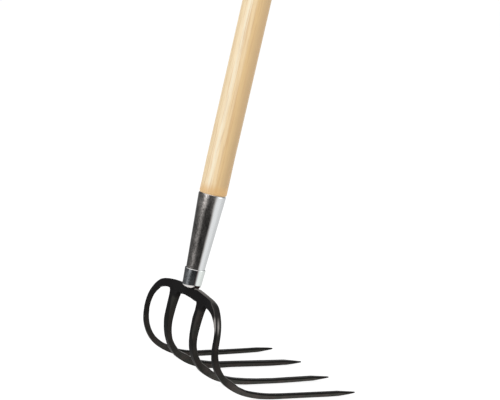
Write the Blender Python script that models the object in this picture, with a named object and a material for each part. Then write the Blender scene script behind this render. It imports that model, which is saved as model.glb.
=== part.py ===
# Potato hoe: a flat forged head with four curved tines, on a long ash handle.
# Metres, +Z up, +Y the way the tines point, +X across the tines.
# The origin is on the handle's axis, where the leading hand holds it.

import math

import bmesh
import bpy
import numpy as np
from mathutils import Matrix, Vector

MM = 0.001
CLEARANCE = 0.3 * MM        # left between pieces that touch

# Side profile of the head. Each run is a length along the plate and the degrees it turns forward.
PROFILE_START = math.radians(-106)              # heading of the plate's top edge, down and a little back
PLATE_RUN = (42 * MM, math.radians(9.5))
BEND_RUN = (52 * MM, math.radians(65))
EASE_RUN = (24 * MM, math.radians(17))
SWEEP_RUN = (32 * MM, math.radians(14.2))
TINE_RUN = (100 * MM, math.radians(1.5))        # carried on to the points at the same curve

# Flat outline of the head, laid out along the profile from the plate's top edge
ARCH_HALF_WIDTH = 78.4 * MM
ARCH_DEPTH = 44.6 * MM
ARCH_FULLNESS = 2.87                            # 2 is an ellipse, more is squarer at the shoulders
BAND_MIDDLE = 11.4 * MM                         # depth of the arch band under the collar
BAND_SIDE = 6.2 * MM                            # and what it is drawn towards on the way to a shoulder
NECK_RISE = 2.6 * MM                            # raised seat for the collar on the top edge
OUTER_WIDTH = 5.6 * MM
OUTER_SPLAY_START = 110 * MM
OUTER_X_BEND = 77.2 * MM                        # outer tines' centre where they start to splay
OUTER_X_TIP = 83.2 * MM
INNER_X_TOP = 27.7 * MM
INNER_X_TIP = 30.6 * MM
INNER_WIDTH = 7.0 * MM
INNER_FLARE = 8.3 * MM                          # extra width at the root
FLARE_START = 12 * MM
FLARE_LENGTH = 27.5 * MM
WINDOW_RADIUS = 5.0 * MM                        # corner of an outer gap
MIDDLE_RADIUS = 4.5 * MM                        # corners of the middle gap
TINE_LENGTHS = (248.2 * MM, 254.2 * MM, 251 * MM, 250 * MM)     # from the top edge, at -X first
POINT_LENGTH = 21 * MM
POINT_TIP = 1.2 * MM
ARCH_THICK = 4.3 * MM                           # at the arch's sides
BEND_THICK = 5.1 * MM
TINE_END_THICK = 3.6 * MM
BEND_THICK_AT = 115 * MM
TINE_END_AT = 215 * MM
BOSS_THICK = 1.7 * MM                           # extra under the collar
BOSS_HALF_WIDTH = 48 * MM
BOSS_DEPTH = 34 * MM
EDGE_ROUND = 1.2 * MM
CROWN = 1.3 * MM                                # the middle stands this far forward of the sides
CROWN_INNER = 30 * MM
CROWN_OUTER = 66 * MM
CROWN_FULL_TO = 50 * MM
CROWN_GONE_AT = 90 * MM
INNER_LIFT = 1.2 * MM                           # of the inner tines, where they level out
INNER_LIFT_AT = 150 * MM
INNER_LIFT_REACH = 70 * MM

# Tang, from the neck up into the wood
TANG_LENGTH = 122 * MM
TANG_ROOT_WIDTH = 11 * MM
TANG_ROOT_THICK = 5.2 * MM
TANG_TIP = 3.6 * MM
TANG_BED = 6 * MM                               # how far it is rooted in the plate

# Collar, ferrule, handle and nail, placed along the handle's axis above the plate's top edge
HANDLE_LEAN = math.radians(7.2)                 # from upright, towards the tines
AXIS_SET_BACK = 0.2 * MM                        # of the handle's axis behind the profile's start
COLLAR_FOOT_DIAMETER = 18.8 * MM
COLLAR_LENGTH = 16.2 * MM                       # foot to rim, without the lips
COLLAR_LIP = 5.0 * MM                           # how far the two lips reach below the foot
COLLAR_LIP_RADIUS = 4.2 * MM                    # of the domed lips at their lower end
COLLAR_WALL = 1.2 * MM
COLLAR_SLEEVE_WALL = 0.8 * MM                   # round the ferrule's end
COLLAR_RIM = 0.7 * MM
FERRULE_SEAT = 6 * MM                           # how far the ferrule sits in the collar
FERRULE_LENGTH = 85.4 * MM
FERRULE_TOP_DIAMETER = 27.9 * MM
FERRULE_END_DIAMETER = 18.6 * MM
FERRULE_WALL = 1.2 * MM
FERRULE_CRIMP = 2.2 * MM                        # its rim is turned in over this radius
HANDLE_LENGTH = 1400 * MM
HANDLE_DIAMETER = 30 * MM
HANDLE_PROUD = 0.2 * MM                         # wood over ferrule, at the shoulder
HANDLE_SWELL = 450 * MM                         # length over which it widens to full size
HANDLE_CHAMFER = 0.6 * MM
TENON_GAP = 11.2 * MM                           # from the ferrule's foot up to the wood in it
BUTT_FLAT_DIAMETER = 18 * MM
BUTT_ROUND = 7 * MM
GRIP_FROM_BUTT = 300 * MM
NAIL_DROP = 11 * MM                             # below the ferrule's rim
NAIL_DIAMETER = 2.2 * MM
NAIL_LENGTH = 9 * MM
NAIL_HEAD_DIAMETER = 5.2 * MM
NAIL_HEAD_HEIGHT = 1.2 * MM

TURN_SEGMENTS = 36
ROW_STEP = 6 * MM
LONG_ROW_STEP = 16 * MM

# Heights along the axis, from the plate's top edge
COLLAR_FOOT = NECK_RISE + CLEARANCE
COLLAR_RIM_HEIGHT = COLLAR_FOOT + COLLAR_LENGTH
FERRULE_FOOT = COLLAR_RIM_HEIGHT - FERRULE_SEAT
FERRULE_RIM = FERRULE_FOOT + FERRULE_LENGTH
SHOULDER = FERRULE_RIM + CLEARANCE
TENON_END = FERRULE_FOOT + TENON_GAP
BUTT = TENON_END + HANDLE_LENGTH
GRIP = BUTT - GRIP_FROM_BUTT


def clear_scene():
    for thing in list(bpy.data.objects):
        bpy.data.objects.remove(thing, do_unlink=True)


def material(name, colour, roughness, metallic):
    made = bpy.data.materials.new(name)
    made.use_nodes = True
    shader = made.node_tree.nodes["Principled BSDF"]
    shader.inputs["Base Color"].default_value = (*colour, 1)
    shader.inputs["Roughness"].default_value = roughness
    shader.inputs["Metallic"].default_value = metallic
    return made


def frame(name, parent=None, location=(0, 0, 0), lean=0.0):
    empty = bpy.data.objects.new(name, None)
    empty.empty_display_size = 20 * MM
    empty.location = location
    empty.rotation_euler = (-lean, 0, 0)
    empty.parent = parent
    bpy.context.collection.objects.link(empty)
    return empty


def add_object(name, bm, parent, look=None):
    mesh = bpy.data.meshes.new(name)
    bm.to_mesh(mesh)
    bm.free()
    mesh.shade_smooth()
    mesh.set_sharp_from_angle(angle=math.radians(35))
    thing = bpy.data.objects.new(name, mesh)
    thing.parent = parent
    bpy.context.collection.objects.link(thing)
    if look:
        mesh.materials.append(look)
    else:
        thing.hide_render = True
        thing.display_type = "WIRE"
    return thing


def combine(target, other, operation):
    step = target.modifiers.new(f"{operation.lower()}_{other.name}", "BOOLEAN")
    step.operation = operation
    step.object = other
    step.solver = "EXACT"


def arc(centre, radius, start, end, steps):
    """Points round a centre, from one angle in degrees to another."""
    angles = np.radians(np.linspace(start, end, steps))
    return [(centre[0] + radius * math.cos(a), centre[1] + radius * math.sin(a)) for a in angles]


def turned(profile, closed=True):
    """Spin a profile of (radius, height) points about Z."""
    bm = bmesh.new()
    verts = [bm.verts.new((r, 0, z)) for r, z in profile]
    edges = [bm.edges.new(pair) for pair in zip(verts, verts[1:])]
    if closed:
        edges.append(bm.edges.new((verts[-1], verts[0])))
    bmesh.ops.spin(bm, geom=verts + edges, cent=(0, 0, 0), axis=(0, 0, 1),
                   angle=2 * math.pi, steps=TURN_SEGMENTS, use_merge=True)
    bmesh.ops.remove_doubles(bm, verts=bm.verts, dist=1e-6)
    bmesh.ops.recalc_face_normals(bm, faces=bm.faces)
    return bm


def loft(rings):
    """Bridge rings of equal count and close both ends."""
    bm = bmesh.new()
    rows = [[bm.verts.new(point) for point in ring] for ring in rings]
    count = len(rows[0])
    for lower, upper in zip(rows, rows[1:]):
        for i in range(count):
            j = (i + 1) % count
            bm.faces.new((lower[i], lower[j], upper[j], upper[i]))
    bm.faces.new(rows[0][::-1])
    bm.faces.new(rows[-1])
    bmesh.ops.recalc_face_normals(bm, faces=bm.faces)
    return bm


# Side profile of the head

def along_profile(s):
    """Height, depth and heading at a distance s along the bent plate."""
    y, z, heading = 0.0, 0.0, PROFILE_START
    left = s
    runs = (PLATE_RUN, BEND_RUN, EASE_RUN, SWEEP_RUN, TINE_RUN)
    for number, (length, turn) in enumerate(runs):
        last = number == len(runs) - 1
        step = left if last else min(left, length)
        if s < 0:
            y += left * math.cos(heading)
            z += left * math.sin(heading)
            break
        curve = turn / length
        after = heading + curve * step
        y += (math.sin(after) - math.sin(heading)) / curve
        z += (math.cos(heading) - math.cos(after)) / curve
        heading = after
        left -= step
        if left <= 0:
            break
    return y, z, heading


def on_plate(x, s, lift):
    """Bend a point of the flat pattern: x across, s along, lift off the middle of the plate."""
    y, z, heading = along_profile(s)
    return Vector((x, y - math.sin(heading) * lift, z + math.cos(heading) * lift))


def eased(value, low, high):
    """0 below low, 1 above high and a smooth step between."""
    share = min(max((value - low) / (high - low), 0), 1)
    return share * share * (3 - 2 * share)


def crown(x, s):
    """Forward set of the middle of the head and of its inner tines, none at the outer tines."""
    plate = CROWN * (1 - eased(s, CROWN_FULL_TO, CROWN_GONE_AT))
    tine = INNER_LIFT * (1 - eased(abs(s - INNER_LIFT_AT), 0, INNER_LIFT_REACH))
    return (plate + tine) * (1 - eased(abs(x), CROWN_INNER, CROWN_OUTER))


def thickness(x, s):
    places = (0, BEND_THICK_AT, TINE_END_AT)
    base = float(np.interp(s, places, (ARCH_THICK, BEND_THICK, TINE_END_THICK)))
    boss = (1 - eased(abs(x), 0, BOSS_HALF_WIDTH)) * (1 - eased(s, 0, BOSS_DEPTH))
    return base + BOSS_THICK * boss


def point_share(s, length):
    """1 along a tine, falling to 0 at its point."""
    return float(np.clip((length - s) / POINT_LENGTH, 0, 1)) ** 0.8


# Flat outline of the head

def arch_outer(u):
    """Outer edge of the arch, u from 0 in the middle to 1 at the shoulder."""
    angle = u * math.pi / 2
    power = 2 / ARCH_FULLNESS
    return Vector((ARCH_HALF_WIDTH * math.sin(angle) ** power,
                   ARCH_DEPTH * (1 - max(math.cos(angle), 0) ** power)))


def band_depth(u):
    return BAND_MIDDLE * (1 - u) ** 2 + 2 * BAND_SIDE * u * (1 - u) + OUTER_WIDTH * u * u


def arch_inner(u):
    """Lower edge of the arch band, one band depth in from the outer edge."""
    small = 1e-3
    ahead = arch_outer(min(u + small, 1)) - arch_outer(max(u - small, 0))
    inward = Vector((-ahead.y, ahead.x)).normalized()
    return arch_outer(u) + inward * band_depth(u)


def outer_x(s):
    shoulder = ARCH_HALF_WIDTH - OUTER_WIDTH / 2
    ends = (ARCH_DEPTH, OUTER_SPLAY_START, max(TINE_LENGTHS))
    return float(np.interp(s, ends, (shoulder, OUTER_X_BEND, OUTER_X_TIP)))


def inner_x(s):
    return float(np.interp(s, (0, max(TINE_LENGTHS)), (INNER_X_TOP, INNER_X_TIP)))


def inner_width(s):
    return INNER_WIDTH + INNER_FLARE * math.exp(-(s - FLARE_START) / FLARE_LENGTH)


def tapered(width, s, length):
    share = point_share(s, length)
    return POINT_TIP + (width - POINT_TIP) * share


def rows(start, length):
    """Stations along a tine: close in the bends, wide on the straight, close in the point."""
    bends_end = sum(run[0] for run in (PLATE_RUN, BEND_RUN, EASE_RUN, SWEEP_RUN))
    point = length - POINT_LENGTH
    near = max(2, round((bends_end - start) / ROW_STEP))
    far = max(2, round((point - bends_end) / LONG_ROW_STEP))
    stations = list(np.linspace(start, bends_end, near, endpoint=False))
    stations += list(np.linspace(bends_end, point, far, endpoint=False))
    stations += [point + POINT_LENGTH * share for share in (0, 0.35, 0.62, 0.84, 1)]
    return stations


def outer_edge(side, s, length):
    """Edge of an outer tine: side is 1 away from the middle and -1 towards it."""
    return Vector((outer_x(s) + side * tapered(OUTER_WIDTH, s, length) / 2, s))


def inner_edge(side, s, length):
    return Vector((inner_x(s) + side * tapered(inner_width(s), s, length) / 2, s))


def crossing(side, length):
    """Where the band's lower edge meets an edge of the inner tine, as u."""
    low, high = 0.0, 1.0
    for _ in range(40):
        middle = (low + high) / 2
        place = arch_inner(middle)
        if place.x < inner_edge(side, place.y, length).x:
            low = middle
        else:
            high = middle
    return low


def rounded(before, corner, after, radius, steps=6):
    """Arc in a corner, from the side of before to the side of after, and its reach."""
    a = (before - corner).normalized()
    b = (after - corner).normalized()
    half = a.angle(b) / 2
    reach = radius / math.tan(half)
    centre = corner + (a + b).normalized() * radius / math.sin(half)
    start = corner + a * reach - centre
    end = corner + b * reach - centre
    sweep = start.angle_signed(end)
    points = []
    for step in np.linspace(0, 1, steps):
        angle = -sweep * step
        turn = Vector((start.x * math.cos(angle) - start.y * math.sin(angle),
                       start.x * math.sin(angle) + start.y * math.cos(angle)))
        points.append(centre + turn)
    return points, reach


def neck_half_width():
    return COLLAR_FOOT_DIAMETER / 2


def half_outline(outer_length, inner_length):
    """Right half of the flat pattern, from the middle of its top edge round to the gap's top."""
    neck = neck_half_width()
    corner = NECK_RISE / 3
    points = [Vector((0, -NECK_RISE)), Vector((neck - corner, -NECK_RISE)),
              Vector((neck, corner - NECK_RISE)), Vector((neck, -corner)), Vector((neck + corner, 0))]
    top = [arch_outer(u) for u in np.linspace(0, 1, 26)]
    points += [place for place in top if place.x > neck + 2 * corner]
    down = rows(ARCH_DEPTH + ROW_STEP, outer_length)
    points += [outer_edge(1, s, outer_length) for s in down]
    points += [outer_edge(-1, s, outer_length) for s in reversed(down)]

    # gap between the outer and the inner tine
    u = crossing(1, inner_length)
    meet = arch_inner(u)
    bend, reach = rounded(arch_inner(u + 0.05), meet, inner_edge(1, meet.y + 4 * MM, inner_length),
                          WINDOW_RADIUS)
    band = [arch_inner(v) for v in np.linspace(1, u, 16)]
    points += [place for place in band if (place - meet).length > reach + MM]
    points += bend
    down = rows(meet.y + reach + 2 * MM, inner_length)
    points += [inner_edge(1, s, inner_length) for s in down]

    # half of the middle gap
    u = crossing(-1, inner_length)
    meet = arch_inner(u)
    bend, reach = rounded(inner_edge(-1, meet.y + 4 * MM, inner_length), meet,
                          arch_inner(max(u - 0.05, 0)), MIDDLE_RADIUS)
    up = [s for s in reversed(down) if s > meet.y + reach + MM]
    points += [inner_edge(-1, s, inner_length) for s in up]
    points += bend
    band = [arch_inner(v) for v in np.linspace(u, 0, 6)]
    points += [place for place in band if (place - meet).length > reach + MM]
    return points


def outline():
    """Closed flat outline, and the length of the tine that each point belongs to."""
    right = half_outline(TINE_LENGTHS[3], TINE_LENGTHS[2])
    left = half_outline(TINE_LENGTHS[0], TINE_LENGTHS[1])
    mirrored = [Vector((-place.x, place.y)) for place in reversed(left[1:-1])]
    return right + mirrored


def tine_length(x):
    between = (INNER_X_TIP + OUTER_X_BEND) / 2
    number = (0 if x < -between else 1) if x < 0 else (2 if x < between else 3)
    return TINE_LENGTHS[number]


def bent_plate():
    """The head without its tang: flat rings round the outline, rounded at both faces, then bent."""
    path = outline()
    count = len(path)
    bm = bmesh.new()
    lifts = {}
    turns = [math.radians(a) for a in (90, 45, 0)]
    rounding = [(1 - math.cos(a), 1 - math.sin(a)) for a in turns]
    steps = [(inset, -1, drop) for inset, drop in rounding]
    steps += [(inset, 1, drop) for inset, drop in reversed(rounding)]
    rings = []
    for inset, face, drop in steps:
        ring = []
        for i, place in enumerate(path):
            ahead = (path[(i + 1) % count] - path[i]).normalized()
            behind = (path[i] - path[i - 1]).normalized()
            inward = Vector((-(ahead + behind).y, (ahead + behind).x)).normalized()
            share = point_share(place.y, tine_length(place.x))
            thick = POINT_TIP + (thickness(place.x, place.y) - POINT_TIP) * share
            radius = min(EDGE_ROUND, 0.3 * (POINT_TIP + (OUTER_WIDTH - POINT_TIP) * share), 0.4 * thick)
            flat = place + inward * inset * radius
            vert = bm.verts.new((flat.x, flat.y, face * (1 - drop / 2) * EDGE_ROUND))
            lifts[vert] = crown(place.x, place.y) + face * (thick / 2 - drop * radius)
            ring.append(vert)
        rings.append(ring)
    for lower, upper in zip(rings, rings[1:]):
        for i in range(count):
            j = (i + 1) % count
            bm.faces.new((lower[i], lower[j], upper[j], upper[i]))
    for ring in (rings[0], rings[-1]):
        border = [bm.edges.get((ring[i], ring[(i + 1) % count])) for i in range(count)]
        bmesh.ops.triangle_fill(bm, use_beauty=True, edges=border)
    for vert in bm.verts:
        vert.co = on_plate(vert.co.x, vert.co.y, lifts[vert])
    bmesh.ops.recalc_face_normals(bm, faces=bm.faces)
    return bm


def tang_shape(grow, below):
    """Tapering bar along the axis, with its corners taken off."""
    neck_y = on_plate(0, 0, crown(0, 0)).y + AXIS_SET_BACK
    bed_y = on_plate(0, TANG_BED, crown(0, TANG_BED)).y + AXIS_SET_BACK
    straight = COLLAR_FOOT + TANG_ROOT_THICK
    stations = [(-below, bed_y, TANG_ROOT_WIDTH, TANG_ROOT_THICK * 0.7),
                (NECK_RISE / 2, neck_y, TANG_ROOT_WIDTH, TANG_ROOT_THICK),
                (straight, 0, TANG_ROOT_WIDTH, TANG_ROOT_THICK),
                (TANG_LENGTH + grow, 0, TANG_TIP, TANG_TIP)]
    rings = []
    for height, centre, width, thick in stations:
        a, b = width / 2 + grow, thick / 2 + grow
        c = 0.2 * min(a, b)
        corners = ((a, c - b), (a, b - c), (a - c, b), (c - a, b),
                   (-a, b - c), (-a, c - b), (c - a, -b), (a - c, -b))
        rings.append([(x, centre + y, height) for x, y in corners])
    return loft(rings)


def make_head(head, shaft, look):
    fork = add_object("fork_head", bent_plate(), head, look)
    tang = add_object("tang_blank", tang_shape(0, TANG_BED), shaft)
    combine(fork, tang, "UNION")
    return fork


# Turned pieces on the handle's axis

def ferrule_radius(height):
    """Outside of the ferrule's taper."""
    share = (height - FERRULE_FOOT) / FERRULE_LENGTH
    return (FERRULE_END_DIAMETER + (FERRULE_TOP_DIAMETER - FERRULE_END_DIAMETER) * share) / 2


def make_ferrule(shaft, look):
    crimp_base = FERRULE_RIM - FERRULE_CRIMP
    outside = ferrule_radius(crimp_base)
    centre = (outside - FERRULE_CRIMP, crimp_base)
    profile = [(ferrule_radius(FERRULE_FOOT), FERRULE_FOOT)]
    profile += arc(centre, FERRULE_CRIMP, 0, 90, 7)
    profile += arc(centre, FERRULE_CRIMP - FERRULE_WALL, 90, 0, 5)
    profile.append((ferrule_radius(FERRULE_FOOT) - FERRULE_WALL, FERRULE_FOOT))
    return add_object("ferrule", turned(profile), shaft, look)


def make_collar(head, shaft, look):
    foot = COLLAR_FOOT_DIAMETER / 2
    seat = FERRULE_FOOT - CLEARANCE
    bore = foot - COLLAR_WALL
    sleeve = CLEARANCE + COLLAR_SLEEVE_WALL
    rim = ferrule_radius(COLLAR_RIM_HEIGHT) + sleeve
    bottom = COLLAR_FOOT - COLLAR_LIP
    dome = [math.radians(a) for a in (90, 72, 54, 36, 18, 0)]
    profile = [(COLLAR_LIP_RADIUS + (foot - COLLAR_LIP_RADIUS) * math.cos(a),
                COLLAR_FOOT - COLLAR_LIP * math.sin(a)) for a in dome]
    profile += [(ferrule_radius(seat) + sleeve, seat)]
    profile += arc((rim - COLLAR_RIM, COLLAR_RIM_HEIGHT - COLLAR_RIM), COLLAR_RIM, 0, 90, 4)
    profile += [(ferrule_radius(COLLAR_RIM_HEIGHT) + CLEARANCE, COLLAR_RIM_HEIGHT),
                (ferrule_radius(seat) + CLEARANCE, seat),
                (bore, seat)]
    inner_lip = COLLAR_LIP_RADIUS - COLLAR_WALL
    profile += [(inner_lip + (bore - inner_lip) * math.cos(a),
                 COLLAR_FOOT - (COLLAR_LIP - COLLAR_WALL) * math.sin(a)) for a in reversed(dome)]
    profile.append((inner_lip, bottom))
    collar = add_object("collar", turned(profile), shaft, look)

    # notch for the neck and the plate under it
    reach = COLLAR_FOOT_DIAMETER
    half = thickness(0, 0) / 2 + CLEARANCE
    slab = ((-reach, -half), (reach, -half), (reach, half), (-reach, half))
    rings = [[on_plate(x, s, crown(0, 0) + lift) for x, lift in slab]
             for s in (-NECK_RISE - CLEARANCE, COLLAR_LIP)]
    notch = add_object("collar_notch", loft(rings), head)
    combine(collar, notch, "DIFFERENCE")

    # the lips are cut to a rounded tongue
    across = np.linspace(-1.2, 1.2, 13) * foot
    below = bottom - COLLAR_LIP
    tongue = [(x, bottom + COLLAR_LIP * (x / foot) ** 2) for x in across]
    border = tongue + [(across[-1], below), (across[0], below)]
    rings = [[(x, y, z) for x, z in border] for y in (-reach, reach)]
    shaping = add_object("collar_tongues", loft(rings), shaft)
    combine(collar, shaping, "DIFFERENCE")
    return collar


def make_handle(shaft, look):
    tenon = ferrule_radius(TENON_END) - FERRULE_WALL - CLEARANCE
    crimp_base = FERRULE_RIM - FERRULE_CRIMP
    tenon_top = ferrule_radius(crimp_base) - FERRULE_WALL - CLEARANCE
    groove = ferrule_radius(crimp_base) - FERRULE_CRIMP - CLEARANCE
    shoulder = FERRULE_TOP_DIAMETER / 2 + HANDLE_PROUD
    full = HANDLE_DIAMETER / 2
    flat = BUTT_FLAT_DIAMETER / 2
    profile = [(0, TENON_END), (tenon - MM, TENON_END), (tenon, TENON_END + MM),
               (tenon_top, crimp_base - CLEARANCE), (groove, crimp_base + 1.0 * MM),
               (groove, SHOULDER), (shoulder - HANDLE_CHAMFER, SHOULDER),
               (shoulder, SHOULDER + HANDLE_CHAMFER)]
    profile += [(full, SHOULDER + HANDLE_SWELL), (full, (SHOULDER + HANDLE_SWELL + BUTT) / 2)]
    for angle in (0, 18, 36, 54, 72, 90):
        a = math.radians(angle)
        profile.append((flat + (full - flat) * math.cos(a), BUTT - BUTT_ROUND + BUTT_ROUND * math.sin(a)))
    profile.append((0, BUTT))
    handle = add_object("handle", turned(profile, closed=False), shaft, look)
    bore = add_object("tang_bore", tang_shape(CLEARANCE, TANG_BED), shaft)
    combine(handle, bore, "DIFFERENCE")
    return handle


def across_axis(profile, height, radius):
    """Turned shape laid on its side, its axis along -X from a radius outwards."""
    bm = turned(profile, closed=False)
    half_step = Matrix.Rotation(math.pi / TURN_SEGMENTS, 3, "Z")
    bmesh.ops.rotate(bm, verts=bm.verts, cent=(0, 0, 0), matrix=half_step)
    for vert in bm.verts:
        x, y, z = vert.co
        vert.co = (-radius - z, y, height + x)
    bmesh.ops.recalc_face_normals(bm, faces=bm.faces)
    return bm


def make_nail(shaft, look, ferrule, handle):
    height = FERRULE_RIM - NAIL_DROP
    radius = ferrule_radius(height + NAIL_HEAD_DIAMETER / 2) + CLEARANCE
    shank = NAIL_DIAMETER / 2
    head = NAIL_HEAD_DIAMETER / 2
    taper = -NAIL_LENGTH + 2 * NAIL_DIAMETER
    profile = [(0, -NAIL_LENGTH), (0.4 * shank, -NAIL_LENGTH), (shank, taper), (shank, 0), (head, 0)]
    for angle in (20, 45, 70, 90):
        a = math.radians(angle)
        profile.append((head * math.cos(a), NAIL_HEAD_HEIGHT * math.sin(a)))
    nail = add_object("ferrule_nail", across_axis(profile, height, radius), shaft, look)
    wide = shank + CLEARANCE
    hole = [(0, -NAIL_LENGTH - CLEARANCE), (wide, -NAIL_LENGTH - CLEARANCE), (wide, head), (0, head)]
    drill = add_object("nail_hole", across_axis(hole, height, radius), shaft)
    combine(ferrule, drill, "DIFFERENCE")
    combine(handle, drill, "DIFFERENCE")
    return nail


def main():
    clear_scene()
    paint = material("black_paint", (0.018, 0.018, 0.019), 0.38, 0.0)
    collar_steel = material("collar_steel", (0.42, 0.42, 0.43), 0.2, 1.0)
    ferrule_steel = material("ferrule_steel", (0.4, 0.39, 0.39), 0.24, 1.0)
    nail_steel = material("nail_steel", (0.45, 0.45, 0.45), 0.3, 1.0)
    ash = material("varnished_ash", (0.68, 0.47, 0.25), 0.42, 0.0)
    lean = Vector((0, math.sin(HANDLE_LEAN), math.cos(HANDLE_LEAN)))
    head = frame("head_frame", location=Vector((0, AXIS_SET_BACK, 0)) - lean * GRIP)
    shaft = frame("shaft_frame", head, (0, -AXIS_SET_BACK, 0), HANDLE_LEAN)
    make_head(head, shaft, paint)
    make_collar(head, shaft, collar_steel)
    ferrule = make_ferrule(shaft, ferrule_steel)
    handle = make_handle(shaft, ash)
    make_nail(shaft, nail_steel, ferrule, handle)


main()
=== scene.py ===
# Looks of the potato hoe: surfaces, finishes, light and camera over the CAD frame.
# Lengths are millimetres until a piece is placed; the row frame is in metres.

import math

import bpy
import numpy as np
from mathutils import Matrix, Vector


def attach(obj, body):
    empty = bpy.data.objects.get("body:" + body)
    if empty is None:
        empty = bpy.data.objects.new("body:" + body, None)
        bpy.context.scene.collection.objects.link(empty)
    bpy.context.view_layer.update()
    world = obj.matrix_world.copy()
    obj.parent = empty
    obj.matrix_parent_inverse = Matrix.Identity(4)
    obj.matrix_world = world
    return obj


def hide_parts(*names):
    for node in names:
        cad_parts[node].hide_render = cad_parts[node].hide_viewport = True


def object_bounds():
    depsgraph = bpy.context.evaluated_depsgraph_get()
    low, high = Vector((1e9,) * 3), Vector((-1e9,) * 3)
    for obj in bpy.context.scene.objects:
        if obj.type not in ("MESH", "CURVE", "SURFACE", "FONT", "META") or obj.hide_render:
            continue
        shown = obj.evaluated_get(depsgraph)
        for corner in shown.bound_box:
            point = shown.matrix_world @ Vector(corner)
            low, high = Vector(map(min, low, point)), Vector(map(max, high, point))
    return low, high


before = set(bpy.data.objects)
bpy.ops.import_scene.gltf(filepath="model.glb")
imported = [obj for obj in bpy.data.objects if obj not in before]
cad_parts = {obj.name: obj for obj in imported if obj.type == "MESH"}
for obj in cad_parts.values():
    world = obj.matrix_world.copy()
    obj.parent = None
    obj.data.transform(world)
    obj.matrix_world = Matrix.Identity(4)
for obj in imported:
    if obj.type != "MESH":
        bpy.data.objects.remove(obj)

lowStart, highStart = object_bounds()
mm = 0.001


# Sizes shared by the pieces

profileStart = math.radians(-106)   # heading of the head's top edge, down and a little back
profileRuns = ((42, 9.5), (52, 65), (24, 17), (32, 14.2), (100, 1.5))   # length, degrees turned
shaft = {"lean": math.radians(7.2), "setBack": 0.2, "grip": 1124.3}
leanSin, leanCos = math.sin(shaft["lean"]), math.cos(shaft["lean"])
clearance = 0.3
sharpAngle = math.radians(48)


# Curves shared by the pieces

def smooth(value, low, high):
    # 0 below low, 1 above high, three squares less two cubes of the share between
    share = np.clip((value - low) / (high - low), 0, 1)
    return share * share * (3 - 2 * share)


def alongProfile(s):
    # five arcs in a row: y and z move by the differences of sine and cosine over each curvature
    s = np.asarray(s, float)
    before = np.minimum(s, 0)
    y, z = before * math.cos(profileStart), before * math.sin(profileStart)
    heading = np.full(s.shape, profileStart)
    begin = 0.0
    for number, (length, turn) in enumerate(profileRuns):
        reach = np.inf if number == len(profileRuns) - 1 else length
        step = np.clip(s - begin, 0, reach)
        curve = math.radians(turn) / length
        after = heading + curve * step
        y = y + (np.sin(after) - np.sin(heading)) / curve
        z = z + (np.cos(heading) - np.cos(after)) / curve
        heading = after
        begin += length
    return y, z, heading


def headToRow(points):
    # millimetres in the head's frame to metres in the row frame
    base = (0, shaft["setBack"] - leanSin * shaft["grip"], -leanCos * shaft["grip"])
    return (np.asarray(points) + base) * mm


def bentPlate(x, s, lift):
    # the flat point pushed off the profile along its normal
    y, z, heading = alongProfile(s)
    return headToRow(np.stack([x, y - np.sin(heading) * lift, z + np.cos(heading) * lift], -1))


def shaftToRow(points):
    # x stays, y and height turn forward by the lean
    x, y, h = np.moveaxis(np.asarray(points, float), -1, 0)
    h = h - shaft["grip"]
    return np.stack([x, y * leanCos + h * leanSin, h * leanCos - y * leanSin], -1) * mm


def arcPoints(centre, radius, start, end, steps):
    # centre plus radius times cosine and sine
    angle = np.radians(np.linspace(start, end, steps))
    return np.stack([centre[0] + radius * np.cos(angle), centre[1] + radius * np.sin(angle)], -1)


# Meshes

def quadsOf(index, wrap=False):
    # a face from each four neighbours in a grid of point numbers
    if wrap:
        index = np.concatenate([index, index[:, :1]], 1)
    return np.stack([index[:-1, :-1], index[:-1, 1:], index[1:, 1:], index[1:, :-1]], -1).reshape(-1, 4)


def addObject(name, data):
    made = bpy.data.objects.new(name, data)
    bpy.context.scene.collection.objects.link(made)
    return made


def addPiece(name, points, quads, tris, look, node, place, extra=None):
    mesh = bpy.data.meshes.new(name)
    mesh.from_pydata(points.tolist(), [], quads.tolist() + tris)
    mesh.validate()
    mesh.shade_smooth()
    mesh.set_sharp_from_angle(angle=sharpAngle)
    layer = mesh.attributes.new("place", "FLOAT_VECTOR", "POINT")
    layer.data.foreach_set("vector", np.asarray(place, np.float32).ravel())
    for key, values in (extra or {}).items():
        layer = mesh.attributes.new(key, "FLOAT", "POINT")
        layer.data.foreach_set("value", np.asarray(values, np.float32).ravel())
    mesh.materials.append(look)
    made = addObject(name, mesh)
    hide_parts(node)
    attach(made, "root")


def turned(profile, segments, closed):
    # each profile point of radius r and height h goes round: r cos a, r sin a, h
    profile = np.asarray(profile, float)
    angle = np.linspace(0, 2 * np.pi, segments, endpoint=False)
    tris = []
    ring = profile if closed else profile[1:-1]
    points = np.stack([ring[:, :1] * np.cos(angle), ring[:, :1] * np.sin(angle),
                       np.broadcast_to(ring[:, 1:], (len(ring), segments))], -1)
    index = np.arange(len(ring) * segments).reshape(len(ring), segments)
    points = points.reshape(-1, 3)
    if closed:
        quads = quadsOf(np.concatenate([index, index[:1]]), True)
    else:
        quads = quadsOf(index, True)
        first, last = len(points), len(points) + 1
        points = np.concatenate([points, [[0, 0, profile[0, 1]], [0, 0, profile[-1, 1]]]])
        after = np.roll(index, -1, 1)
        tris = np.concatenate([np.stack([np.full(segments, first), after[0], index[0]], -1),
                               np.stack([np.full(segments, last), index[-1], after[-1]], -1)]).tolist()
    return points, quads, tris


# Shader sums, written as ordinary arithmetic on sockets

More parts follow.
